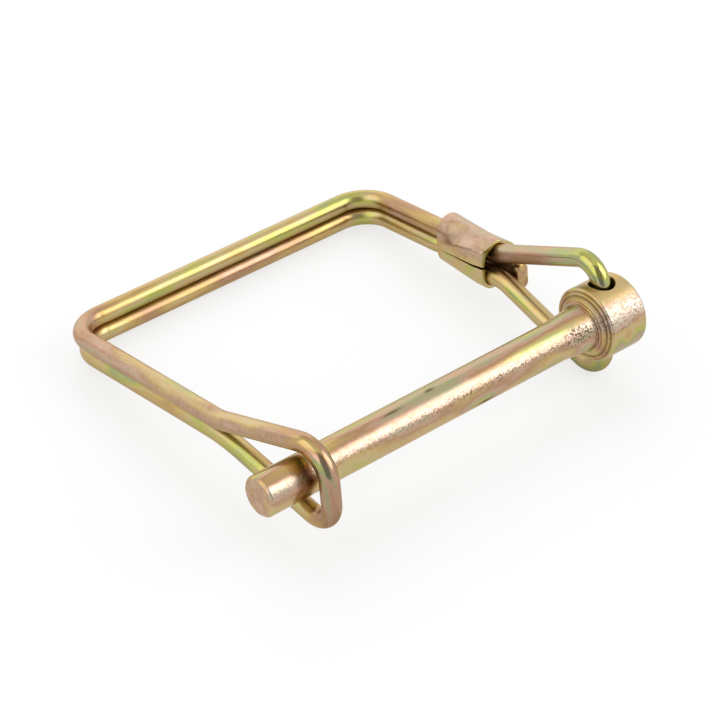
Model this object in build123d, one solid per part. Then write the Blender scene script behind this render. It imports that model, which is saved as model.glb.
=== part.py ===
from build123d import *
import math
import os

# Pin: headed steel bar along X, tip at -X; x = 0 is where the plain shank ends
shank_d = 8.0
shank_length = 72.1
tip_chamfer = 0.45
neck_d = 9.3
neck_length = 6.4
collar_d = 10.6
collar_length = 0.5
ring_inner_d = 12.4
ring_d = 13.6
ring_rise = 0.4
ring_length = 0.45
head_d = 15.0
head_length = 9.3
head_front_chamfer = 0.35
head_back_r = 0.8
step_chamfer = 0.2

# Bail wire: one round spring wire, two strands stacked around the square
wire_d = 3.8
wire_end_chamfer = 0.3
strand_gap = 0.1
bail_depth = 70.8
bail_width = 76.05
corner_bend_r = 7.0

# Cross hole of the head, where the bail turns
hole_play = 0.7
hole_chamfer = 0.2
leg_lead = 0.9

# Loop that closes over the shank near the tip
loop_play = 1.4
loop_rise = 2.65
loop_drop = 3.1
loop_inset = 1.0
strand_inset = 0.95
loop_top_bend_r = 5.9
loop_low_bend_r = 4.7
loop_lead = 22.7
upper_lead_bend_r = 14.0
lower_lead_bend_r = 40.0

# Legs from the sleeve to the head
head_rise = 5.1
head_drop = 6.55
head_top_bend_r = 4.7
head_low_bend_r = 4.3
upper_leg_start = 31.2
lower_leg_start = 26.7
leg_bend_r = 8.0

# Crimped sheet sleeve on the leg: roomy at its mouth, closed on the strands at its far end,
# with a creased upper edge and a slit on its inner side
sleeve_near = 30.0
sleeve_length = 15.5
sleeve_play = 0.06
sheet_t = 0.85
sheet_far_t = 0.75
slit_w = 0.5
slit_near_z = 0.55
slit_far_z = -1.1
mouth_room = 0.05
mouth_rise = 0.5
shoulder_in = 0.2
shoulder_z = 1.1
crease_r = 0.25
crease_z = 3.4
far_room = 0.8
far_rise = 0.15
far_shift = 0.8
far_left = 0.1
far_right = 1.0
far_crease_r = 1.7
far_shoulder_out = 0.6
far_shoulder_z = 0.9

# Ends of the wire: the strand's end pressed flat beyond the sleeve, the leg's tail held inside
stub_reach = 4.8
stub_shift = 2.2
flat_length = 1.1
flat_swell = 1.3
flat_w = 2.7
flat_h = 5.4
flat_shift = 0.2
tail_grip = 3.0
spread_past = 3.0

overrun = 1.0

# Sizes worked out from the ones above
shank_r = shank_d / 2
neck_r = neck_d / 2
collar_r = collar_d / 2
ring_inner_r = ring_inner_d / 2
ring_r = ring_d / 2
head_r = head_d / 2
wire_r = wire_d / 2
collar_end = neck_length + collar_length
ring_x = collar_end + ring_rise
head_x = ring_x + ring_length
head_end = head_x + head_length
hole_x = head_x + head_length / 2
hole_r = wire_r + hole_play
strand_z = (wire_d + strand_gap) / 2
leg_x = hole_x + leg_lead
far_x = leg_x - bail_width
front_y = -(shank_r + loop_play + wire_r)
loop_x = far_x + loop_inset
loop_top_z = shank_r + loop_rise + wire_r
loop_low_z = -(shank_r + loop_drop + wire_r)
head_top_z = head_r + head_rise
head_low_z = -(head_r + head_drop)
stub_x = leg_x + stub_shift
tail_x = stub_x - wire_d - strand_gap
sleeve_far = sleeve_near + sleeve_length
taper_y = sleeve_near + tail_grip
flat_y = sleeve_near - stub_reach


def rest_tilt():
    """Angle about X at which the wire under the head and the back of the bail share one floor."""
    run = lower_leg_start
    slope = math.atan2(-strand_z - head_low_z, run)
    bend_y = head_low_bend_r
    bend_z = head_low_z + bend_y * math.tan(slope) + head_low_bend_r / math.cos(slope)
    span = bail_depth - bend_y
    rise = -strand_z - bend_z
    reach = math.hypot(span, rise)
    return math.degrees(math.atan2(rise, span) + math.asin(head_low_bend_r / reach))


tilt = Rot(-rest_tilt(), 0, 0)


def corner_of(face, x, y):
    """Vertex of a flat outline that lies nearest to a point."""
    return min(face.vertices(), key=lambda v: (Vector(v) - Vector(x, y, 0)).length)


def is_mouth(box):
    """Whether an edge's box is that of the cross hole's rim, above or below."""
    across = abs(box.size.X - 2 * hole_r) < strand_gap and abs(box.size.Y - 2 * hole_r) < strand_gap
    return across and abs(box.center().Z) > wire_r


def pin():
    """Turned bar: chamfered tip, plain shank, flared neck, stepped rings and drilled head."""
    outline = Polyline(
        (-shank_length, 0),
        (-shank_length, shank_r - tip_chamfer),
        (-shank_length + tip_chamfer, shank_r),
        (0, shank_r),
        (neck_length, neck_r),
        (neck_length, collar_r),
        (collar_end, collar_r),
        (ring_x, ring_inner_r),
        (ring_x, ring_r),
        (head_x, ring_r),
        (head_x, head_r),
        (head_end, head_r),
        (head_end, 0),
        close=True,
    )
    face = make_face(outline)
    for x, y in ((neck_length, neck_r), (neck_length, collar_r), (ring_x, ring_r)):
        face = chamfer(corner_of(face, x, y), step_chamfer)
    face = chamfer(corner_of(face, head_x, head_r), head_front_chamfer)
    face = fillet(corner_of(face, head_end, head_r), head_back_r)
    body = revolve(face, Axis.X)
    hole = Pos(hole_x, 0, 0) * Cylinder(hole_r, head_d + overrun)
    body = body - hole
    mouths = [edge for edge in body.edges() if is_mouth(edge.bounding_box())]
    body = chamfer(mouths, hole_chamfer)
    return tilt * body


def wire_points():
    """Corners of the wire's axis from the cut end, around the bail and through the head."""
    up = strand_z
    low = -strand_z
    inner_x = far_x + strand_inset
    return (
        (stub_x, flat_y + flat_length + flat_swell, low),
        (stub_x, taper_y, low),
        (leg_x, sleeve_far + spread_past, low),
        (leg_x, bail_depth, low),
        (inner_x, bail_depth, low),
        (inner_x, loop_lead, low),
        (loop_x, front_y, loop_low_z),
        (loop_x, front_y, loop_top_z),
        (far_x, loop_lead, up),
        (far_x, bail_depth, up),
        (leg_x, bail_depth, up),
        (leg_x, upper_leg_start, up),
        (hole_x, 0, head_top_z),
        (hole_x, 0, head_low_z),
        (tail_x, lower_leg_start, low),
        (tail_x, taper_y, low),
    )


def flat_end():
    """Pressed end of the strand: the round wire swells into a flat upright slot shape."""
    round_y = flat_y + flat_length + flat_swell
    round_plane = Plane(origin=(stub_x, round_y, -strand_z), x_dir=(0, 0, 1), z_dir=(0, -1, 0))
    flat_plane = round_plane.offset(flat_swell)
    slot = flat_plane * Pos(0, flat_shift) * SlotOverall(flat_h, flat_w)
    swell = loft([round_plane * Circle(wire_r), slot])
    tab = extrude(slot, flat_length)
    return swell + chamfer(tab.faces().sort_by(Axis.Y)[0].edges(), wire_end_chamfer)


def bail_wire():
    """Round wire swept along its bent axis, one end pressed flat and the other broken."""
    bends = (
        leg_bend_r,
        leg_bend_r,
        corner_bend_r,
        corner_bend_r,
        lower_lead_bend_r,
        loop_low_bend_r,
        loop_top_bend_r,
        upper_lead_bend_r,
        corner_bend_r,
        corner_bend_r,
        leg_bend_r,
        head_top_bend_r,
        head_low_bend_r,
        leg_bend_r,
    )
    path = FilletPolyline(*wire_points(), radius=bends)
    section = Plane(origin=path @ 0, z_dir=path % 0) * Circle(wire_r)
    wire = sweep(section, path=path)
    tail = wire.faces().filter_by(GeomType.PLANE).sort_by_distance(path @ 1)[0]
    wire = chamfer(tail.edges(), wire_end_chamfer)
    return tilt * (wire + flat_end())


def touching_side(first, second):
    """Outward normal of the line that touches two rounds on the left of the way between them."""
    way = Vector(second[0] - first[0], second[1] - first[1])
    lean = (first[2] - second[2]) / way.length
    ahead = way.normalized()
    aside = Vector(-ahead.Y, ahead.X)
    return ahead * lean + aside * math.sqrt(1 - lean**2)


def sleeve_edges(y, rounds, grow):
    """Outline of the sleeve at one place: a band drawn tight around the rounds that shape it."""
    plane = Plane(origin=(0, y, 0), x_dir=(1, 0, 0), z_dir=(0, -1, 0))
    following = rounds[1:] + rounds[:1]
    sides = [touching_side(*both) for both in zip(rounds, following)]
    edges = []
    for before, after, here, there in zip(sides[-1:] + sides, sides, rounds, following):
        centre = Vector(here[0], here[1])
        reach = here[2] + grow
        stop = centre + after * reach
        crown = centre + (before + after).normalized() * reach
        edges.append(ThreePointArc(centre + before * reach, crown, stop))
        edges.append(Line(stop, Vector(there[0], there[1]) + after * (there[2] + grow)))
    return [plane * edge for edge in edges]


def sleeve_block(near_t, far_t, extra):
    """Solid sleeve: a straight mouth around three wires, narrowing to two at its far end."""
    mouth = (
        (tail_x, -strand_z, wire_r),
        (tail_x - wire_r + crease_r, crease_z, crease_r),
        (leg_x, strand_z + mouth_rise, wire_r + mouth_room),
        (stub_x - shoulder_in, shoulder_z, wire_r),
        (stub_x, -strand_z, wire_r),
    )
    end = (
        (leg_x - far_left, -strand_z, wire_r),
        (leg_x - far_left - wire_r + far_crease_r, strand_z, far_crease_r),
        (leg_x + far_shift, strand_z + far_rise, wire_r + far_room),
        (leg_x + far_right + far_shoulder_out, far_shoulder_z, wire_r),
        (leg_x + far_right, -strand_z, wire_r),
    )
    near = sleeve_edges(sleeve_near - extra, mouth, sleeve_play + near_t)
    middle = sleeve_edges(taper_y, mouth, sleeve_play + near_t)
    far = sleeve_edges(sleeve_far + extra, end, sleeve_play + far_t)
    walls = [Face.make_surface_from_curves(*both) for both in zip(near + middle, middle + far)]
    return Solid(Shell(walls + [make_face(near), make_face(far)]))


def ferrule():
    """Rolled sheet sleeve closed over the strands, its sloping slit left open."""
    shell = sleeve_block(sheet_t, sheet_far_t, 0) - sleeve_block(0, 0, overrun)
    reach = bail_width / 2
    slope = math.degrees(math.atan2(slit_far_z - slit_near_z, sleeve_length))
    middle = Pos(leg_x - reach / 2, sleeve_near + sleeve_length / 2, (slit_near_z + slit_far_z) / 2)
    slit = middle * Rot(slope, 0, 0) * Box(reach, sleeve_length + 2 * overrun, slit_w)
    return tilt * (shell - slit)


os.makedirs("parts", exist_ok=True)
export_step(pin(), "parts/pin.step")
export_step(bail_wire(), "parts/bail_wire.step")
export_step(ferrule(), "parts/ferrule.step")
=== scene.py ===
import math

import bmesh
import bpy
import numpy as np
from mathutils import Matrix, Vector


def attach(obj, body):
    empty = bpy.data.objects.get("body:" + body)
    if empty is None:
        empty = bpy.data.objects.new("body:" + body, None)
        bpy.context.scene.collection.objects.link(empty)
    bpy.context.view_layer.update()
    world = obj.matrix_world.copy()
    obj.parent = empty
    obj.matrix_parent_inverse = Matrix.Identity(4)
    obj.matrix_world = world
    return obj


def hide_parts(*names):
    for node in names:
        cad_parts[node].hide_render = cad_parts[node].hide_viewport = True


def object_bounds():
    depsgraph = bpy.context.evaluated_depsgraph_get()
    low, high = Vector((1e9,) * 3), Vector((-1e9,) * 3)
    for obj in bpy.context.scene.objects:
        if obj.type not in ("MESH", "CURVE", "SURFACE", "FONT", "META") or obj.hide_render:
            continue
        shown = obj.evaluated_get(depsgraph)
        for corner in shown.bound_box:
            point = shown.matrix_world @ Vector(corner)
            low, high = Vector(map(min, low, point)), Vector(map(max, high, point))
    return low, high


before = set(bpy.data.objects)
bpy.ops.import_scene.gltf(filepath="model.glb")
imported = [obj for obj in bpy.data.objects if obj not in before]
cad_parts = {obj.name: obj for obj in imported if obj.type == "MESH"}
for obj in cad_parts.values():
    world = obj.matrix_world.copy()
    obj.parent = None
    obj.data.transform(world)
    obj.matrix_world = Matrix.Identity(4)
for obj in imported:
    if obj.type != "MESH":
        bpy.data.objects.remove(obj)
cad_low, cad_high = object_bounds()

# The pin: a bar of mild steel turned to a plain shank with a broken tip, a slightly flared neck
# and two stepped rings under a drilled head. It is zinc plated in a barrel and passivated yellow,
# which leaves a golden film with rose and green bands where the film is thicker.
MM = 0.001
shank_r = 4.0
shank_tip = -72.1
tip_break = 0.45
tip_inner_round = 0.1
tip_outer_round = 0.3
neck_sweep = 25.0
neck_end = 6.4
neck_r = 4.65
collar_r = 5.3
collar_end = 6.9
collar_round = 0.2
step_round = 0.12
ring_foot = 6.2
ring_start = 7.3
ring_r = 6.8
ring_round = 0.18
head_start = 7.75
head_end = 17.05
head_r = 7.5
head_lead = 0.1
front_round = 0.45
back_round = 0.8
hole_x = 12.4
hole_r = 2.6
hole_round = 0.28
around_pin = 240
hole_cols = 23
head_rows = 40
rim_rings = 15
rim_crowding = 1.35
rim_steps = 8
wall_rings = 25
front_gap = 0.6
back_gap = 1.2
profile_turn = math.radians(11)
weld_reach = 2e-7
tilt = math.radians(8.3635)
at_rest = np.array([
    [1, 0, 0],
    [0, math.cos(tilt), -math.sin(tilt)],
    [0, math.sin(tilt), math.cos(tilt)],
])


def unit(v):
    """Vectors brought to length one along their last axis."""
    return v / np.linalg.norm(v, axis=-1, keepdims=True)


def straight(a, b, gap):
    """Points from a to b about a gap apart, drawn closer together towards both ends."""
    count = max(4, int(np.linalg.norm(b - a) / gap) + 2)
    share = 0.5 - 0.5 * np.cos(np.linspace(0, math.pi, count))
    return a + (b - a) * share[:, None]


def bent_line(corners, radii, gap, turn):
    """Straight legs whose inner corners become arcs: an arc begins radius * tan(half its turn)
    before the corner, ends as far after it, and is cut into steps of the angle turn."""
    corners = np.asarray(corners, float)
    runs, last = [corners[:1]], corners[0]
    for before, corner, after, radius in zip(corners, corners[1:], corners[2:], radii):
        into, away = unit(corner - before), unit(after - corner)
        half = math.acos(np.clip(into @ away, -1, 1)) / 2
        inward = unit(away - into)
        centre = corner + inward * radius / math.cos(half)
        angle = np.linspace(-half, half, max(3, int(2 * half / turn) + 2))[:, None]
        arc = centre + radius * (np.sin(angle) * unit(into + away) - np.cos(angle) * inward)
        runs += [straight(last, arc[0], gap)[1:-1], arc]
        last = arc[-1]
    runs.append(straight(last, corners[-1], gap)[1:])
    return np.concatenate(runs)


def net(points, wrap):
    """A grid of points (rows, columns, 3) as vertices and quads, joined around where it wraps."""
    rows, cols = points.shape[:2]
    index = np.arange(rows * cols).reshape(rows, cols)
    if wrap:
        index = np.concatenate([index, index[:, :1]], axis=1)
    quads = np.stack([index[:-1, :-1], index[:-1, 1:], index[1:, 1:], index[1:, :-1]], -1)
    return points.reshape(-1, 3), quads.reshape(-1, 4)


def skin(name, nets, marks):
    """One smooth closed mesh from several nets, turned about X to the lock's rest: their shared
    borders and poles are welded, and each mark is stored as a number or a vector on every vertex."""
    starts = np.cumsum([0] + [len(points) for points, _ in nets])
    points = np.concatenate([points for points, _ in nets])
    quads = np.concatenate([quads + start for (_, quads), start in zip(nets, starts)])
    mesh = bpy.data.meshes.new(name)
    mesh.from_pydata((points @ at_rest * MM).tolist(), [], quads.tolist())
    for mark, values in marks.items():
        values = np.asarray(values, np.float32)
        wide = values.shape[-1] == 3
        layer = mesh.attributes.new(mark, "FLOAT_VECTOR" if wide else "FLOAT", "POINT")
        layer.data.foreach_set("vector" if wide else "value", values.ravel())
    welded = bmesh.new()
    welded.from_mesh(mesh)
    bmesh.ops.remove_doubles(welded, verts=welded.verts, dist=weld_reach)
    bmesh.ops.recalc_face_normals(welded, faces=welded.faces)
    welded.to_mesh(mesh)
    welded.free()
    mesh.shade_smooth()
    piece = bpy.data.objects.new(name, mesh)
    bpy.context.scene.collection.objects.link(piece)
    return piece


def turned(profile, angles):
    """A profile of (x, radius) turned about X: y = radius * sin(angle), z = radius * cos(angle)."""
    x = np.repeat(profile[:, :1], len(angles), axis=1)
    return np.stack([x, profile[:, 1:2] * np.sin(angles), profile[:, 1:2] * np.cos(angles)], -1)


front_profile = bent_line(
    [
        (shank_tip, 0),
        (shank_tip, shank_r - tip_break),
        (shank_tip + tip_break, shank_r),
        (0, shank_r),
        (neck_end, neck_r),
        (neck_end, collar_r),
        (collar_end, collar_r),
        (ring_start, ring_foot),
        (ring_start, ring_r),
        (head_start, ring_r),
        (head_start, head_r),
        (head_start + front_round + head_lead, head_r),
    ],
    [
        tip_inner_round,
        tip_outer_round,
        neck_sweep,
        collar_round,
        collar_round,
        step_round,
        step_round,
        ring_round,
        step_round,
        front_round,
    ],
    gap=front_gap,
    turn=profile_turn,
)
back_profile = bent_line(
    [(head_end - back_round - head_lead, head_r), (head_end, head_r), (head_end, 0)],
    [back_round],
    gap=back_gap,
    turn=profile_turn,
)
head_from, head_to = front_profile[-1, 0], back_profile[0, 0]
angles = np.arange(around_pin) * 2 * math.pi / around_pin


def cross_hole(rows):
    """The drilled hole as one tube of rings: each ring goes from the edge of a rectangle on the
    head, inwards over the rounded rim, down the wall and out again on the far side. A point at the
    distance d from the hole's axis lies at the height sqrt(head_r^2 - (d sin phi)^2) of the head."""
    side = np.linspace(0, 1, rows + 1)[:-1]
    reach = angles[hole_cols]
    theta = np.linspace(-reach, reach, 2 * hole_cols + 1)[:-1]
    x = np.concatenate([
        head_from + (head_to - head_from) * side,
        np.full(len(theta), head_to),
        head_to + (head_from - head_to) * side,
        np.full(len(theta), head_from),
    ])
    arc = np.concatenate([np.full(rows, -reach), theta, np.full(rows, reach), -theta])
    along, across = x - hole_x, head_r * np.sin(arc)
    phi, far = np.arctan2(across, along), np.hypot(along, across)
    mouth_r = hole_r + hole_round
    spread = np.linspace(1, 0, rim_rings)[:, None] ** rim_crowding
    bend = np.linspace(0, math.pi / 2, rim_steps)[1:, None]
    level = np.zeros_like(far)
    d = np.concatenate([
        mouth_r + spread * (far - mouth_r),
        hole_r + hole_round * (1 - np.sin(bend)) + level,
    ])
    sink = np.concatenate([spread * level, hole_round * (1 - np.cos(bend)) + level])
    height = np.sqrt(head_r**2 - (d * np.sin(phi)) ** 2) - sink
    mouth = np.stack([hole_x + d * np.cos(phi), d * np.sin(phi), height], -1)
    down = np.linspace(1, -1, wall_rings)[1:-1, None, None]
    wall = mouth[-1:] * (np.array([1, 1, 0]) + down * np.array([0, 0, 1]))
    return np.concatenate([mouth, wall, (mouth * np.array([1, 1, -1]))[::-1]])


cheek = np.linspace(head_from, head_to, head_rows + 1)
cheek = np.stack([cheek, np.full(len(cheek), head_r)], -1)
half_round = around_pin // 2
pin_nets = [
    net(turned(front_profile, angles), wrap=True),
    net(turned(back_profile, angles), wrap=True),
    net(turned(cheek, angles[hole_cols:half_round - hole_cols + 1]), wrap=False),
    net(turned(cheek, angles[half_round + hole_cols:around_pin - hole_cols + 1]), wrap=False),
    net(cross_hole(head_rows), wrap=True),
]


def hill(distance, spread):
    """A smooth hill of height one: exp(-(distance / spread)^2)."""
    return np.exp(-((distance / spread) ** 2))


def stepped(place, stops):
    """Straight lines between stops that are given as (place, amount), level beyond the last ones."""
    return np.interp(place, *np.transpose(stops))


def bands(place, hills):
    """The sum of smooth bands that are given as (middle, spread, amount)."""
    return sum(amount * hill(place - middle, spread) for middle, spread, amount in hills)


def spots(along, around, hills):
    """The sum of smooth spots, given as (middle along, middle around, length, spread, amount)."""
    return sum(amount * hill(along - middle, length) * hill(around - angle, spread)
               for middle, angle, length, spread, amount in hills)


# Films are given over the dip, streaks, scars and neck pits as spots over x and the dip, other pits
# and painted sheen (paler where the highlight falls and where the floor is reflected) as bands over
# the dip, and grooves as (x, radius, painted shade).
shank_films = [(-180, 0.20), (-40, 0.98), (-26, 0.88), (-12, 0.64), (8, 0.52), (48, 0.50),
               (72, 0.46), (88, 0.24), (105, 0.08), (128, -0.06), (180, 0.20)]
head_films = [(-180, -0.9), (-40, 0.08), (15, 0.20), (40, 0.42), (62, 0.45), (78, 0.22),
              (92, 0.00), (110, -0.14), (130, -0.26), (155, -0.55), (180, -0.9)]
ring_film = 0.17
pin_streaks = [
    (-5, 29, 10, 13, -0.60),
    (-34, -18, 6, 14, 0.08),
    (-22, 107, 5, 20, 0.92),
    (4, 108, 3, 18, 0.86),
    (-58, 4, 12, 24, -0.50),
    (-34, 90, 6, 18, 0.10),
    (-57, 85, 9, 24, -0.32),
    (-9, 104, 9, 22, -0.14),
    (9.8, 98, 1.3, 11, -0.22),
    (11.8, 89, 1.1, 9, 0.30),
    (12.6, 112, 1.5, 10, 0.20),
    (14.6, 97, 1.3, 9, -0.20),
]
shank_pits, shank_pit_growth = [(57, 12, 1.0)], [(-60, 0.30), (-20, 0.75)]
neck_pits, neck_pits_from = [(2.0, 59, 3.2, 17, 2.8)], -1
head_pits = [(55, 24, 0.5)]
least_pits = 0.06
# Painted sheen: the shank is paler where its highlight falls and where its lower side reflects the
# floor, the head where its highlight falls.
shank_painted_sheen = [(48, 16, 0.9), (100, 20, 0.3)]
head_painted_sheen = [(52, 20, 1.5)]
face_depth, face_film, face_pale = 0.06, 0.30, 0.4
# Painted shade: the grooves darken the inner corners where the neck, the ring's foot and the head
# meet a step.
pin_grooves = [(neck_end, neck_r, 0.4), (ring_start, ring_foot, 0.75), (head_start, ring_r, 0.55)]
groove_spread = 0.25
pin_scars = [(-32.2, -2, 0.9, 5, 1.2), (-41.8, 7, 2.1, 3.5, 1.2), (-21.5, 111, 1.9, 6, 1.2)]
pin_rough = [(-72, 0.20), (-55, 0.26), (neck_end, 0.28), (head_start, 0.36)]
pin_stretch = [0.22, 1, 1]
head_blend = 0.5
near_edge = 0.02


def pin_marks(points):
    """Film, pits, painted sheen, painted shade and scars of the pin, laid out over x and the dip,
    which is the angle from the top of the bar over its front side in degrees. The film goes from 0 to
    1 and round again."""
    at_top = points @ at_rest
    x, radius = points[:, 0], np.hypot(points[:, 1], points[:, 2])
    dip = np.degrees(np.arctan2(-at_top[:, 1], at_top[:, 2]))
    on_head = np.clip(x - neck_end + head_blend, 0, 1)
    face = (x < shank_tip + face_depth) | (x > head_end - face_depth)
    in_hole = (np.hypot(x - hole_x, points[:, 1]) < hole_r + near_edge) & (x > head_from)

    shank = stepped(dip, shank_films)
    head = np.where(x < head_start + near_edge, ring_film, stepped(dip, head_films))
    film = shank + (head - shank) * on_head + spots(x, dip, pin_streaks)

    pits = bands(dip, shank_pits) * stepped(x, shank_pit_growth)
    pits = np.where(x < neck_pits_from, pits, np.maximum(pits, spots(x, dip, neck_pits)))
    pits = pits + (bands(dip, head_pits) - pits) * on_head

    # Painted sheen over the dip, on the shank and on the head.
    pale = bands(dip, shank_painted_sheen) * (1 - on_head) + bands(dip, head_painted_sheen) * on_head

    # Painted shade, darker in the inner corners of the profile and all through the cross hole; the
    # scars are real dark scratches.
    grime = sum(groove_shade * hill(np.hypot(x - foot, radius - depth), groove_spread)
                for foot, depth, groove_shade in pin_grooves)
    grime = np.maximum(grime + spots(x, dip, pin_scars), in_hole)
    return {
        "film": np.where(face, face_film, film),
        "pits": np.where(face, least_pits, pits + least_pits),
        "pale": np.where(face, face_pale, pale),
        "grime": np.minimum(grime, 1),
        "rough": stepped(x, pin_rough),
        "way": points * MM * pin_stretch,
    }


pin = skin("lock_pin", pin_nets, pin_marks(np.concatenate([points for points, _ in pin_nets])))


class Value:
    """A number or colour that changes over a surface. Sums and products of it add Math nodes."""

    def __init__(self, finish, socket):
        self.finish, self.socket = finish, socket

    def math(self, operation, *others):
        inputs = dict(enumerate((self,) + others))
        return self.finish.node("ShaderNodeMath", {"operation": operation}, inputs)

    def __add__(self, other):
        return self.math("ADD", other)

    __radd__ = __add__

    def __sub__(self, other):
        return self.math("SUBTRACT", other)

    def __rsub__(self, other):
        return self.finish.node("ShaderNodeMath", {"operation": "SUBTRACT"}, {0: other, 1: self})

    def __mul__(self, other):
        return self.math("MULTIPLY", other)

    def ramp(self, low, high):
        """0 below low, 1 above high, and a smooth rise between them."""
        return self.finish.node("ShaderNodeMapRange", {"interpolation_type": "SMOOTHSTEP"},
                                {"Value": self, "From Min": low, "From Max": high})


class Finish:
    """A material or world under construction: node() adds one node with its settings and inputs."""

    def __init__(self, owner):
        owner.use_nodes = True
        self.owner, self.tree = owner, owner.node_tree
        self.tree.nodes.clear()

    def node(self, kind, settings=None, inputs=None, output=0):
        made = self.tree.nodes.new(kind)
        for key, value in (settings or {}).items():
            if key == "stops":
                ramp = made.color_ramp
                while len(ramp.elements) < len(value):
                    ramp.elements.new(0.5)
                for stop, (place, colour) in zip(ramp.elements, value):
                    stop.position, stop.color = place, (*colour, 1)
            else:
                setattr(made, key, value)
        for key, value in (inputs or {}).items():
            if isinstance(value, Value):
                self.tree.links.new(value.socket, made.inputs[key])
            else:
                made.inputs[key].default_value = value
        return Value(self, made.outputs[output]) if made.outputs else None

    def noise(self, where, scale, detail, rough):
        return self.node("ShaderNodeTexNoise", None, {
            "Vector": where, "Scale": scale, "Detail": detail, "Roughness": rough})

    def mix(self, share, first, second):
        """A mix of two colours, which are the Mix node's inputs 6 and 7 and its output 2."""
        return self.node("ShaderNodeMix", {"data_type": "RGBA"},
                         {0: share, 6: first, 7: second}, output=2)

    def mark(self, name, output="Fac"):
        return self.node("ShaderNodeAttribute", {"attribute_name": name}, None, output)


straw = (0.52, 0.39, 0.18)
gold = (0.53, 0.365, 0.10)
bronze = (0.45, 0.27, 0.095)
brown = (0.39, 0.21, 0.10)
rose = (0.51, 0.29, 0.18)
mauve = (0.41, 0.32, 0.19)
green = (0.31, 0.35, 0.14)
lime = (0.44, 0.43, 0.065)
film_colours = [(0.0, straw), (0.12, gold), (0.26, bronze), (0.38, brown), (0.50, rose),
                (0.62, mauve), (0.74, green), (0.86, lime), (1.0, straw)]
# A pale metal tint for random worn patches and for painted sheen.
wear_and_sheen_tint = (0.63, 0.53, 0.45, 1)
pit_dark = (0.16, 0.11, 0.06, 1)
shade_and_scar_dark = (0.09, 0.05, 0.02, 1)
edge_tint = (0.75, 0.55, 0.35, 1)
streak_share, patch_share, patch_ratio = 0.9, 0.25, 3.3
least_wear, pale_share = 0.05, 0.62
most_fleck, most_shade_and_scars = 0.85, 0.8
worn_rough, fleck_rough, shade_and_scar_rough = 0.14, 0.25, 0.3
speck_height, speck_pits = 0.3, 3.0
grit_height, grit_pits = 0.35, 2.0
coat_weight, coat_ior, coat_rough = 0.8, 1.5, 0.25


def yellow_zinc(name, grain, cloudy, fine):
    """The plated skin: the film's thickness runs from straw gold through bronze, brown, rose, mauve
    and green to lime and straw again, and streaks are added to it. Grain and pits of the metal below
    go into the bump, the roughness and the colour, and the film itself is a clear coat on top. The
    pale mark turns the colour towards a pale tint, which on the pin and the sleeve's top is painted
    sheen where highlights and reflections fall. The shade mark darkens the colour with painted shade
    (and the pin's scars), roughens it and takes off the coat."""
    finish = Finish(bpy.data.materials.new(name))
    where = finish.node("ShaderNodeTexCoord", output="Object")
    way = finish.mark("way", "Vector")
    pits, grime, pale = finish.mark("pits"), finish.mark("grime"), finish.mark("pale")
    streak = finish.noise(way, scale=fine, detail=1.5, rough=0.45)
    patch = finish.noise(way, scale=fine * patch_ratio, detail=2.0, rough=0.5)
    unrest = (streak - 0.5) * streak_share + (patch - 0.5) * patch_share
    film = finish.mark("film") + unrest * cloudy
    colour = finish.node("ShaderNodeValToRGB", {"stops": film_colours}, {0: film.math("FRACT")})
    speck = finish.noise(where, scale=2300.0, detail=2.0, rough=0.6)
    fleck = speck.ramp(0.48, 0.62) * pits
    worn = finish.noise(where, scale=900.0, detail=4.0, rough=0.65)
    grit = finish.noise(where, scale=1500.0, detail=3.0, rough=0.55)
    # Random worn patches everywhere, and where the pale mark is high also painted sheen: the colour
    # turns to the pale metal tint.
    wear_and_sheen = worn.ramp(0.25, 0.62) * (least_wear + pale * pale_share)
    colour = finish.mix(wear_and_sheen, colour, wear_and_sheen_tint)
    colour = finish.mix(fleck.math("MINIMUM", most_fleck), colour, pit_dark)
    # Painted shade, and the pin's scars, darken the colour here, roughen it and take off the coat.
    colour = finish.mix(grime * most_shade_and_scars, colour, shade_and_scar_dark)
    rough = finish.mark("rough") + (worn - 0.5) * worn_rough
    rough = rough + fleck * fleck_rough + grime * shade_and_scar_rough
    height = speck * (speck_height + pits * speck_pits) + grit * (grit_height + pits * grit_pits)
    bump = finish.node("ShaderNodeBump", None, {
        "Strength": 1.0, "Distance": grain * MM, "Height": height})
    shader = finish.node("ShaderNodeBsdfPrincipled", None, {
        "Base Color": colour,
        "Roughness": rough,
        "Metallic": 1.0,
        "Normal": bump,
        "Specular Tint": edge_tint,
        "Coat Weight": (coat_weight - fleck * coat_weight) * (1.0 - grime),
        "Coat IOR": coat_ior,
        "Coat Roughness": coat_rough,
    })
    finish.node("ShaderNodeOutputMaterial", None, {"Surface": shader})
    return finish.owner


pin.data.materials.append(yellow_zinc("pin_yellow_zinc", grain=0.025, cloudy=1.6, fine=240.0))
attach(pin, "pin")
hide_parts("pin")

# The bail: one round spring-steel wire, bent cold. From its cut end it runs twice round the square,
# loops over the shank near the tip, and its upper leg goes through the head and back to the sleeve.
wire_r = 1.899
upper, lower = 1.95, -1.95
stub_x, leg_x, tail_x = 15.5, 13.3, 11.6
inner_x, far_x, loop_x = -61.8, -62.75, -61.75
pressed_y, taper_y, spread_y = 25.2, 33.0, 48.5
back_y, lead_y, front_y = 70.8, 22.7, -7.3
loop_top, loop_low = 8.55, -9.0
head_top, head_low = 12.6, -14.05
upper_leg_y, lower_leg_y = 31.2, 26.7
leg_bend, corner_bend = 8.0, 7.0
upper_lead_bend, lower_lead_bend = 14.0, 40.0
loop_top_bend, loop_low_bend = 5.9, 4.7
head_top_bend, head_low_bend = 4.7, 4.3
end_round, end_steps = 0.35, 6
press_length, press_swell = 1.1, 1.3
press_w, press_h, press_shift = 1.5, 2.85, 0.3
press_past, press_rings, join_gap, lead_rings = 0.3, 22, 0.2, 6
around_wire = 64
off_axis = np.array([0.45, 0.35, 0.82])
bend_squeeze, squeeze_window = 0.03, 7
cap_ring = 0.6
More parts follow.
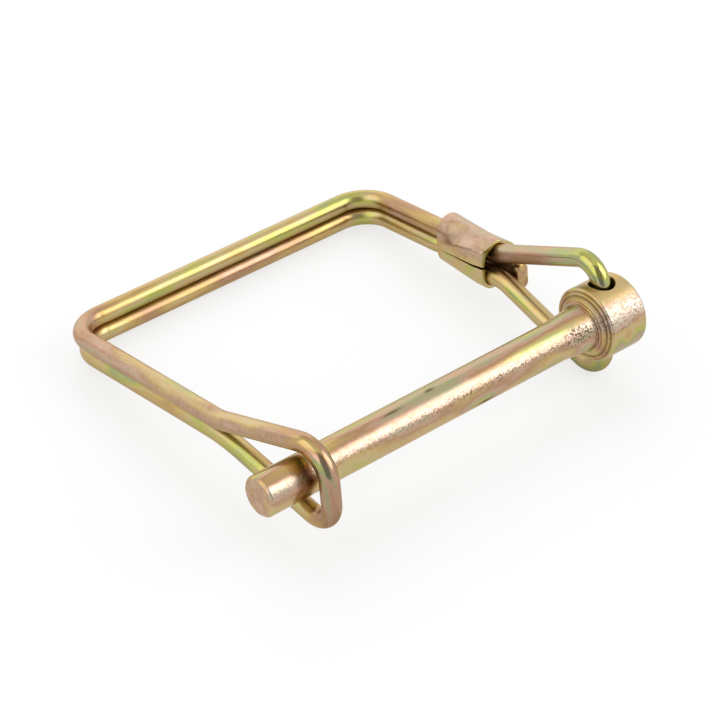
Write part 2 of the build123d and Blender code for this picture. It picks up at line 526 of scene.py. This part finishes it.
wire_line = bent_line(
    [
        (stub_x, pressed_y, lower),
        (stub_x, taper_y, lower),
        (leg_x, spread_y, lower),
        (leg_x, back_y, lower),
        (inner_x, back_y, lower),
        (inner_x, lead_y, lower),
        (loop_x, front_y, loop_low),
        (loop_x, front_y, loop_top),
        (far_x, lead_y, upper),
        (far_x, back_y, upper),
        (leg_x, back_y, upper),
        (leg_x, upper_leg_y, upper),
        (hole_x, 0, head_top),
        (hole_x, 0, head_low),
        (tail_x, lower_leg_y, lower),
        (tail_x, taper_y, lower),
    ],
    [
        leg_bend,
        leg_bend,
        corner_bend,
        corner_bend,
        lower_lead_bend,
        loop_low_bend,
        loop_top_bend,
        upper_lead_bend,
        corner_bend,
        corner_bend,
        leg_bend,
        head_top_bend,
        head_low_bend,
        leg_bend,
    ],
    gap=1.5,
    turn=math.radians(5),
)
press_y = pressed_y + np.concatenate([
    end_round * (1 - np.cos(np.linspace(0, math.pi / 2, end_steps))),
    np.linspace(end_round, press_length + press_swell + press_past, press_rings)[1:],
])
press_line = np.stack([np.full(len(press_y), stub_x), press_y, np.full(len(press_y), lower)], -1)
joined = np.searchsorted(wire_line[:lead_rings, 1], press_y[-1] + join_gap)
wire_line = np.concatenate([press_line, wire_line[joined:]])
wire_angles = np.arange(around_wire) * 2 * math.pi / around_wire


def wire_skin(line):
    """A round section carried along the line. In a bend it is squeezed along the bend's radius by a
    share that grows with the curvature. The first stretch is pressed flat: there the section is a
    slot, whose radius in the direction (c, s) is w / c on its sides and
    k s + sqrt(w^2 - k^2 c^2) on its round ends, with k the half height less the half width."""
    along = unit(np.gradient(line, axis=0))
    step = np.linalg.norm(np.diff(line, axis=0), axis=1)
    run = np.concatenate([[0], np.cumsum(step)])
    pull = np.gradient(along, run, axis=0)
    curve = np.linalg.norm(pull, axis=1)
    across = unit(np.cross(along, off_axis))
    over = np.cross(along, across)
    turn = wire_angles[:, None]
    out = across[:, None] * np.cos(turn) + over[:, None] * np.sin(turn)
    squeeze = np.pad(np.clip(curve * head_low_bend, 0, 1), squeeze_window // 2, "edge")
    squeeze = np.convolve(squeeze, np.full(squeeze_window, 1 / squeeze_window), "valid")
    lean = np.einsum("ijk,ik->ij", out, pull / (curve[:, None] + 1e-6))
    radius = wire_r * (1 - bend_squeeze * squeeze[:, None] * lean**2)
    c, s = np.abs(out[..., 0]) + 1e-9, np.abs(out[..., 2])
    k = press_h - press_w
    side = press_w / c
    top = k * s + np.sqrt(np.maximum(press_w**2 - (k * c) ** 2, 0))
    slot = np.where(side * s <= k, side, top)
    swell = np.clip((run - press_length) / press_swell, 0, 1)
    swell = (1 - swell * swell * (3 - 2 * swell))[:, None]
    radius = radius * (1 - swell) + slot * swell
    inset = end_round - np.clip(run, 0, end_round)
    radius = radius - (end_round - np.sqrt(end_round**2 - inset**2))[:, None]
    body = line[:, None] + radius[..., None] * out
    body[..., 0] -= press_shift * swell
    return run, out, body


def capped(body, line):
    """The tube with its two ends closed: the cut face's outline, a ring inside it and its centre."""
    def cap(ring):
        middle = ring.mean(0)
        inside = ring * cap_ring + middle * (1 - cap_ring)
        return np.stack([np.repeat(middle[None], len(ring), 0), inside])
    tail_face = line[-1] + (body[-1] - line[-1]) * (wire_r - end_round) / wire_r
    body[-1] -= unit(line[-1] - line[-2]) * end_round
    return np.concatenate([cap(body[0]), body, tail_face[None], cap(tail_face)[::-1]])


def with_caps(rings):
    """Values of the tube's rings, repeated for two rings of its first cap and three of its last."""
    return np.concatenate([rings[:1]] * 2 + [rings] + [rings[-1:]] * 3)


# Stops are given over the run, except the under and side painted shade's, which are given over the
# rise.
# Streaks are spots over the run and the rise.
wire_films = [
    (0, 0.24), (6, 0.24), (18, -0.08), (44, 0.00), (62, 0.30), (100, 0.20), (116, 0.06),
    (128, 0.04), (158, 0.04), (170, -0.02), (187, -0.04), (193, 0.38), (202, 0.46), (208, 0.20),
    (216, 0.16), (232, 0.10), (250, -0.02), (280, 0.46), (292, -0.08), (348, -0.06), (356, 0.06),
    (364, 0.36), (376, 0.10), (390, 0.12), (396, 0.44), (408, 0.44), (415, 0.78), (422, 0.66),
    (427, 0.68), (432, 0.86), (440, 0.92), (450, 0.90), (456, 0.88), (467, 0.86), (472, 1.08),
    (478, 1.15),
]
rise_film = 0.05
wire_streaks = [
    (131, 0.4, 5, 0.6, -0.30),
    (168, 0.5, 9, 0.6, -0.10),
    (204.5, 0.2, 2.0, 0.6, 0.42),
    (219, 0.0, 2.5, 0.6, -0.16),
    (229, 0.5, 3.0, 0.6, 0.25),
    (246, 0.75, 6, 0.6, -0.22),
    (246, 0.1, 34, 0.6, 0.30),
]
wire_pits = 0.05
wire_pale = [(208, 0), (218, 0.35), (268, 0.35), (282, 0)]
# Painted shade: the wire is darker on its undersides.
under_painted_shade = [(-0.5, 0.25), (0.2, 0)]
# Painted shade on the lower side of the upper leg, between the sleeve and the head.
leg_side_painted_shade, leg_painted_shade = [(0.3, 0.34), (0.62, 0)], [(392, 0), (396, 1), (410, 1), (416, 0)]
# Painted shade where the loop runs by the pin and where the lower leg runs by the head.
near_pin_painted_shade = [(189, 0), (194, 0.2), (203, 0.2), (207, 0), (440, 0), (446, 0.3), (454, 0.3), (458, 0)]
# Painted shade on the sides of the stub and the tail that face each other in the sleeve's mouth.
stub_painted_shade, stub_side = [(0.4, 0), (0.9, 0.9), (6, 0.9), (9, 0)], -1.6
tail_painted_shade, tail_side = [(467, 0), (470, 0.8), (479, 0.9)], 1.5
wire_rough = [(196, 0.31), (201, 0.13), (212, 0.13), (218, 0.31),
              (408, 0.31), (414, 0.07), (432, 0.07), (440, 0.31)]
wire_stretch = 0.2


def wire_marks(run, out):
    """Film, pale patches and painted shade of the wire, laid out over the run along its line in
    millimetres and over its rise and side, which are how far the skin faces up and towards the head
    there. The shade is painted on the undersides, on the upper leg, where the wire runs by the pin
    and the head, and on the sides of the stub and the tail that face each other."""
    rise, side = with_caps(out[..., 2]), with_caps(out[..., 0])
    run = np.repeat(with_caps(run)[:, None], around_wire, 1)
    turn = np.broadcast_to(wire_angles, run.shape)
    # Painted shade: undersides, the upper leg, by the pin and head, and between the stub and the
    # tail.
    grime = stepped(rise, under_painted_shade) + stepped(rise, leg_side_painted_shade) * stepped(run, leg_painted_shade)
    grime = grime + stepped(run, near_pin_painted_shade)
    grime = grime + stepped(run, stub_painted_shade) * np.clip(stub_side * side, 0, 1)
    grime = grime + stepped(run, tail_painted_shade) * np.clip(tail_side * side, 0, 1)
    around = [wire_r * np.cos(turn), wire_r * np.sin(turn)]
    return {
        "film": stepped(run, wire_films) + rise_film * rise + spots(run, rise, wire_streaks),
        "way": np.stack([run * wire_stretch] + around, -1) * MM,
        "pits": np.full(run.shape, wire_pits),
        "pale": stepped(run, wire_pale),
        "grime": grime,
        "rough": stepped(run, wire_rough),
    }


run, out, body = wire_skin(wire_line)
bail_nets = [net(capped(body, wire_line), wrap=True)]
bail = skin("bail_wire_skin", bail_nets, wire_marks(run, out))
bail.data.materials.append(yellow_zinc("wire_yellow_zinc", grain=0.006, cloudy=1.2, fine=420.0))
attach(bail, "bail")
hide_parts("bail_wire")

# The sleeve: a strip of sheet steel rolled round the two strands and the tail of the wire and
# crimped, so that its edges meet in a slit on the inner side and its far end hugs the strands.
sleeve_near, sleeve_taper, sleeve_far = 30.0, 33.0, 45.5
sheet_inside, sheet_round = 0.06, 0.22
sheet_near_t, sheet_far_t = 0.845, 0.745
slit_middles = [(sleeve_near, 0.55), (sleeve_far, -1.1)]
slit_halves = [(sleeve_near, 0.5), (sleeve_far, 0.2)]
arc_cols, flat_cols = (14, 24, 16, 18, 20), 12
lip_steps, rim_bow_steps, sleeve_rings = 6, 5, 40
far_rounds = [
    (13.25, lower, 1.9), (11.8, 0.1, 0.5), (14.05, 2.1, 2.7), (14.9, 0.9, 1.9), (14.3, lower, 1.9)]
mouth_rounds = [
    (tail_x, lower, 1.9), (9.95, 3.4, 0.25), (leg_x, 2.4, 1.95), (15.3, 1.1, 1.9),
    (stub_x, lower, 1.9)]
mouth_inner_rounds = mouth_rounds[:1] + [(13.0, 1.0, 3.25)] + mouth_rounds[2:]
outer_rounds = np.array([mouth_rounds, far_rounds])
inner_rounds = np.array([mouth_inner_rounds, far_rounds])


def sheet_strip(y, rounds):
    """One side of the rolled strip at the lengths y: the hull of five rounds, followed clockwise from
    the upper lip of the slit to the lower one. Two rounds i and j share the tangent whose normal n
    has n . (centre j - centre i) = radius i - radius j. Returns points and normals."""
    share = np.clip((y - sleeve_taper) / (sleeve_far - sleeve_taper), 0, 1)[:, None, None]
    rounds = rounds[0] + (rounds[1] - rounds[0]) * share
    centre, radius = rounds[..., :2], rounds[..., 2]
    away = np.roll(centre, -1, 1) - centre
    span = np.linalg.norm(away, axis=-1)
    lean = (radius - np.roll(radius, -1, 1)) / span
    ahead = away / span[..., None]
    aside = np.stack([-ahead[..., 1], ahead[..., 0]], -1)
    normal = lean[..., None] * ahead + np.sqrt(1 - lean**2)[..., None] * aside
    turn = np.unwrap(np.arctan2(normal[..., 1], normal[..., 0]), axis=1)
    turn = np.concatenate([turn, turn[:, :1] - 2 * math.pi], 1)
    arcs = []
    for k, count in enumerate(arc_cols, 1):
        start, sweep = turn[:, k - 1, None], (turn[:, k] - turn[:, k - 1])[:, None]
        angle = start + sweep * np.linspace(0, 1, count)
        n = np.stack([np.cos(angle), np.sin(angle)], -1)
        i = k % len(arc_cols)
        arcs.append((centre[:, i, None] + radius[:, i, None, None] * n, n))
    slit, slit_half = stepped(y, slit_middles)[:, None], stepped(y, slit_halves)[:, None]
    foot, head = arcs[-1][0][:, -1], arcs[0][0][:, 0]
    rate = (slit + slit_half * [1, -1] - foot[:, 1:]) / (head - foot)[:, 1:]
    lips = foot[:, None] + (head - foot)[:, None] * rate[..., None]
    wall = arcs[0][1][:, :1]
    arcs = [(lips[:, :1], wall)] + arcs + [(lips[:, 1:], wall)]
    fill = np.linspace(0, 1, flat_cols)[1:-1, None]
    points, normals = [arcs[0][0]], [arcs[0][1]]
    for (before, _), (after, n) in zip(arcs, arcs[1:]):
        points += [before[:, -1:] + (after[:, :1] - before[:, -1:]) * fill, after]
        normals += [np.repeat(n[:, :1], len(fill), 1), n]
    return np.concatenate(points, 1), np.concatenate(normals, 1)


def sheet_loop(y, thin):
    """Closed outlines of the sheet at the lengths y: out along the strip on its outer side, round the
    lower lip, back on the inner side and round the upper lip. thin is taken off both sides, and a
    lip's corner keeps sheet_round * (1 - cos a) off each side while it goes in by sin a of it."""
    sheet_t = np.interp(y, [sleeve_taper, sleeve_far], [sheet_near_t, sheet_far_t])
    outer, out_n = sheet_strip(y, outer_rounds)
    inner, in_n = sheet_strip(y, inner_rounds)
    outer = outer + out_n * (sheet_inside + sheet_t - thin)[:, None, None]
    inner = inner + in_n * (sheet_inside + thin)[:, None, None]
    a = np.linspace(0, math.pi / 2, lip_steps)[::-1]
    along = np.stack([out_n[:, 0, 1], -out_n[:, 0, 0]], -1)[:, None]
    upper_lip = along * (-sheet_round * np.sin(a))[None, :, None]
    sink = (sheet_round * (1 - np.cos(a)))[None, :, None]

    def side(points, n, sign):
        first = points[:, :1] + upper_lip - sign * n[:, :1] * sink
        last = points[:, -1:] - upper_lip[:, ::-1] - sign * n[:, -1:] * sink[:, ::-1]
        return np.concatenate([first, points[:, 1:-1], last], 1)

    flat = np.concatenate([side(outer, out_n, 1), side(inner, in_n, -1)[:, ::-1]], 1)
    return np.stack([flat[..., 0], np.repeat(y[:, None], flat.shape[1], 1), flat[..., 1]], -1)


bow = np.linspace(0, math.pi / 2, rim_bow_steps)
rim_y, rim_thin = sheet_round * (1 - np.cos(bow)), sheet_round * (1 - np.sin(bow))
body_y = np.linspace(sleeve_near + sheet_round, sleeve_far - sheet_round, sleeve_rings)[1:-1]
sheet_y = np.concatenate([sleeve_near + rim_y, body_y, sleeve_far - rim_y[::-1]])
sheet_thin = np.concatenate([rim_thin, 0 * body_y, rim_thin[::-1]])
sheet = sheet_loop(sheet_y, sheet_thin)
outside = np.arange(sheet.shape[1] // 2)
inside = sheet.shape[1] - 1 - outside
ladder = np.stack([outside[:-1], outside[1:], inside[1:], inside[:-1]], -1)
sheet_nets = [net(sheet, wrap=True), (sheet[0], ladder), (sheet[-1], ladder)]

sleeve_films = [(-3.5, -0.08), (-1.2, 0.02), (0.8, 0.12), (2.4, 0.40), (4.2, 0.46)]
cut_film = 0.92
# Painted sheen: the sleeve is paler towards its top, where its highlight falls.
sleeve_painted_top_light = [(0.8, 0.05), (2.6, 0.5)]
sleeve_pits, sleeve_rough = 0.08, 0.33
sleeve_stretch = [1, 0.5, 1]


def sleeve_marks(points, cut):
    """Film and painted sheen of the sleeve, laid out over its height: its top is painted paler, where
    the light falls on it. Its cut edges have a film of their own, which takes over as the share cut
    goes from 0 to 1."""
    film = stepped(points[:, 2], sleeve_films)
    film = film + (cut_film - film) * cut
    return {
        "film": film,
        "way": points * MM * sleeve_stretch,
        "pits": np.full(film.shape, sleeve_pits),
        "rough": np.full(film.shape, sleeve_rough),
        "pale": stepped(points[:, 2], sleeve_painted_top_light) * (1 - cut),
    }


rim_cut = np.repeat(1 - rim_y[:, None] / sheet_round, sheet.shape[1], 1)
face_cut = np.zeros((len(body_y), sheet.shape[1]))
sheet_cut = np.concatenate([rim_cut, face_cut, rim_cut[::-1], rim_cut[:1], rim_cut[:1]])
sheet_points = np.concatenate([sheet, sheet[:1], sheet[-1:]]).reshape(-1, 3)
sleeve = skin("sheet_sleeve", sheet_nets, sleeve_marks(sheet_points, sheet_cut.ravel()))
sleeve.data.materials.append(yellow_zinc("sleeve_yellow_zinc", grain=0.01, cloudy=1.1, fine=330.0))
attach(sleeve, "bail")
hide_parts("ferrule")

# The set: a sheet of white paper in a white tent. A bright back wall and two soft boxes light the
# lock and a fourth lamp lights the paper only. The bright metal also shows the dark opening for the
# camera and a gap in the ceiling.
paper_half, paper_gap = 4.0, 0.00005
floor_z = cad_low.z - paper_gap
centre = np.array([-0.025, 0.025, 0.0])
paper_white, tent_white = (0.92, 0.92, 0.92, 1), (1, 1, 1, 1)


def white_to_eyes(finish, base, share):
    """How much of the paper or the tent is plain white: only what the eye and mirrors look at."""
    path = finish.node("ShaderNodeLightPath").socket.node.outputs
    rays = ("Is Camera Ray", "Is Glossy Ray", "Is Transmission Ray")
    seen = [Value(finish, path[ray]) for ray in rays]
    return base + (seen[0] + seen[1] + seen[2]).math("MINIMUM", 1.0) * share


def flat_sheet(name, corners):
    """One flat four-cornered sheet."""
    mesh = bpy.data.meshes.new(name)
    mesh.from_pydata(corners, [], [(0, 1, 2, 3)])
    made = bpy.data.objects.new(name, mesh)
    bpy.context.scene.collection.objects.link(made)
    return made


def oblong(half_wide, half_tall, z):
    """The four corners of a level rectangle about the origin, at the height z."""
    signs = ((-1, -1), (1, -1), (1, 1), (-1, 1))
    return [Vector((x * half_wide, y * half_tall, z)) for x, y in signs]


floor = flat_sheet("paper_floor", oblong(paper_half, paper_half, floor_z))
white = Finish(bpy.data.materials.new("white_paper"))
matt = white.node("ShaderNodeBsdfDiffuse", None, {"Color": paper_white})
glow = white.node("ShaderNodeEmission", None, {"Color": tent_white, "Strength": 1.0})
paper_mix = white.node("ShaderNodeMixShader", None, {
    0: white_to_eyes(white, base=0.0, share=0.7), 1: matt, 2: glow})
white.node("ShaderNodeOutputMaterial", None, {"Surface": paper_mix})
floor.data.materials.append(white.owner)

tent = Finish(bpy.data.worlds.new("white_tent"))
bpy.context.scene.world = tent.owner
air = tent.node("ShaderNodeBackground", None, {
    "Color": tent_white, "Strength": white_to_eyes(tent, base=0.55, share=0.45)})
tent.node("ShaderNodeOutputWorld", None, {"Surface": air})


def facing(side, height):
    """Direction to a panel at an angle sideways from the back and upwards from the floor."""
    side, height = math.radians(side), math.radians(height)
    level = math.cos(height)
    return Vector((math.sin(side) * level, math.cos(side) * level, math.sin(height)))


def soft_box(name, side, height, distance, wide, tall, glow, mirrored=True):
    """A rectangular lamp that faces the lock: its power is glow * pi * its area. One that is not
    mirrored lights the paper only."""
    light = bpy.data.lights.new(name, "AREA")
    light.shape, light.size, light.size_y = "RECTANGLE", wide, tall
    light.energy = glow * math.pi * wide * tall
    lamp = bpy.data.objects.new(name, light)
    lamp.location = Vector(centre) + facing(side, height) * distance
    lamp.rotation_euler = facing(side, height).to_track_quat("Z", "Y").to_euler()
    lamp.visible_glossy = mirrored
    bpy.context.scene.collection.objects.link(lamp)


def grey_card(name, side, height, distance, wide, tall, tone):
    """A flat card that faces the lock and shows in its metal only."""
    turn = facing(side, height).to_track_quat("Z", "Y")
    place = Vector(centre) + facing(side, height) * distance
    card = flat_sheet(name, [place + turn @ corner for corner in oblong(wide / 2, tall / 2, 0)])
    card.visible_camera = card.visible_shadow = card.visible_diffuse = False
    grey = Finish(bpy.data.materials.new(name))
    flat = grey.node("ShaderNodeEmission", None, {"Color": (tone, tone, tone, 1), "Strength": 1.0})
    grey.node("ShaderNodeOutputMaterial", None, {"Surface": flat})
    card.data.materials.append(grey.owner)


soft_box("back_wall", side=15, height=20, distance=1.0, wide=1.6, tall=0.75, glow=0.4)
soft_box("right_box", side=131, height=36, distance=0.8, wide=0.52, tall=0.56, glow=2.3)
soft_box("left_box", side=-80, height=42, distance=0.8, wide=1.0, tall=0.8, glow=0.7)
soft_box("paper_lamp", side=12, height=52, distance=1.0, wide=1.2, tall=0.8, glow=1.35,
         mirrored=False)
grey_card("camera_opening", side=-155, height=36, distance=0.85, wide=0.85, tall=1.2, tone=0.36)
grey_card("ceiling_gap", side=0, height=66, distance=0.95, wide=0.7, tall=1.0, tone=0.9)

# The camera stands where the photograph was taken from.
camera = bpy.data.cameras.new("photo_camera")
camera.lens = 131.612
camera.sensor_width = 36.0
camera.clip_start = 0.01
camera.clip_end = 20.0
eye = bpy.data.objects.new("photo_camera", camera)
eye.location = (-0.29061, -0.27414, 0.29707)
eye.rotation_euler = [math.radians(turn) for turn in (52.7283, -1.0158, -40.6017)]
bpy.context.scene.collection.objects.link(eye)
bpy.context.scene.camera = eye
bpy.context.scene.view_settings.view_transform = "Standard"
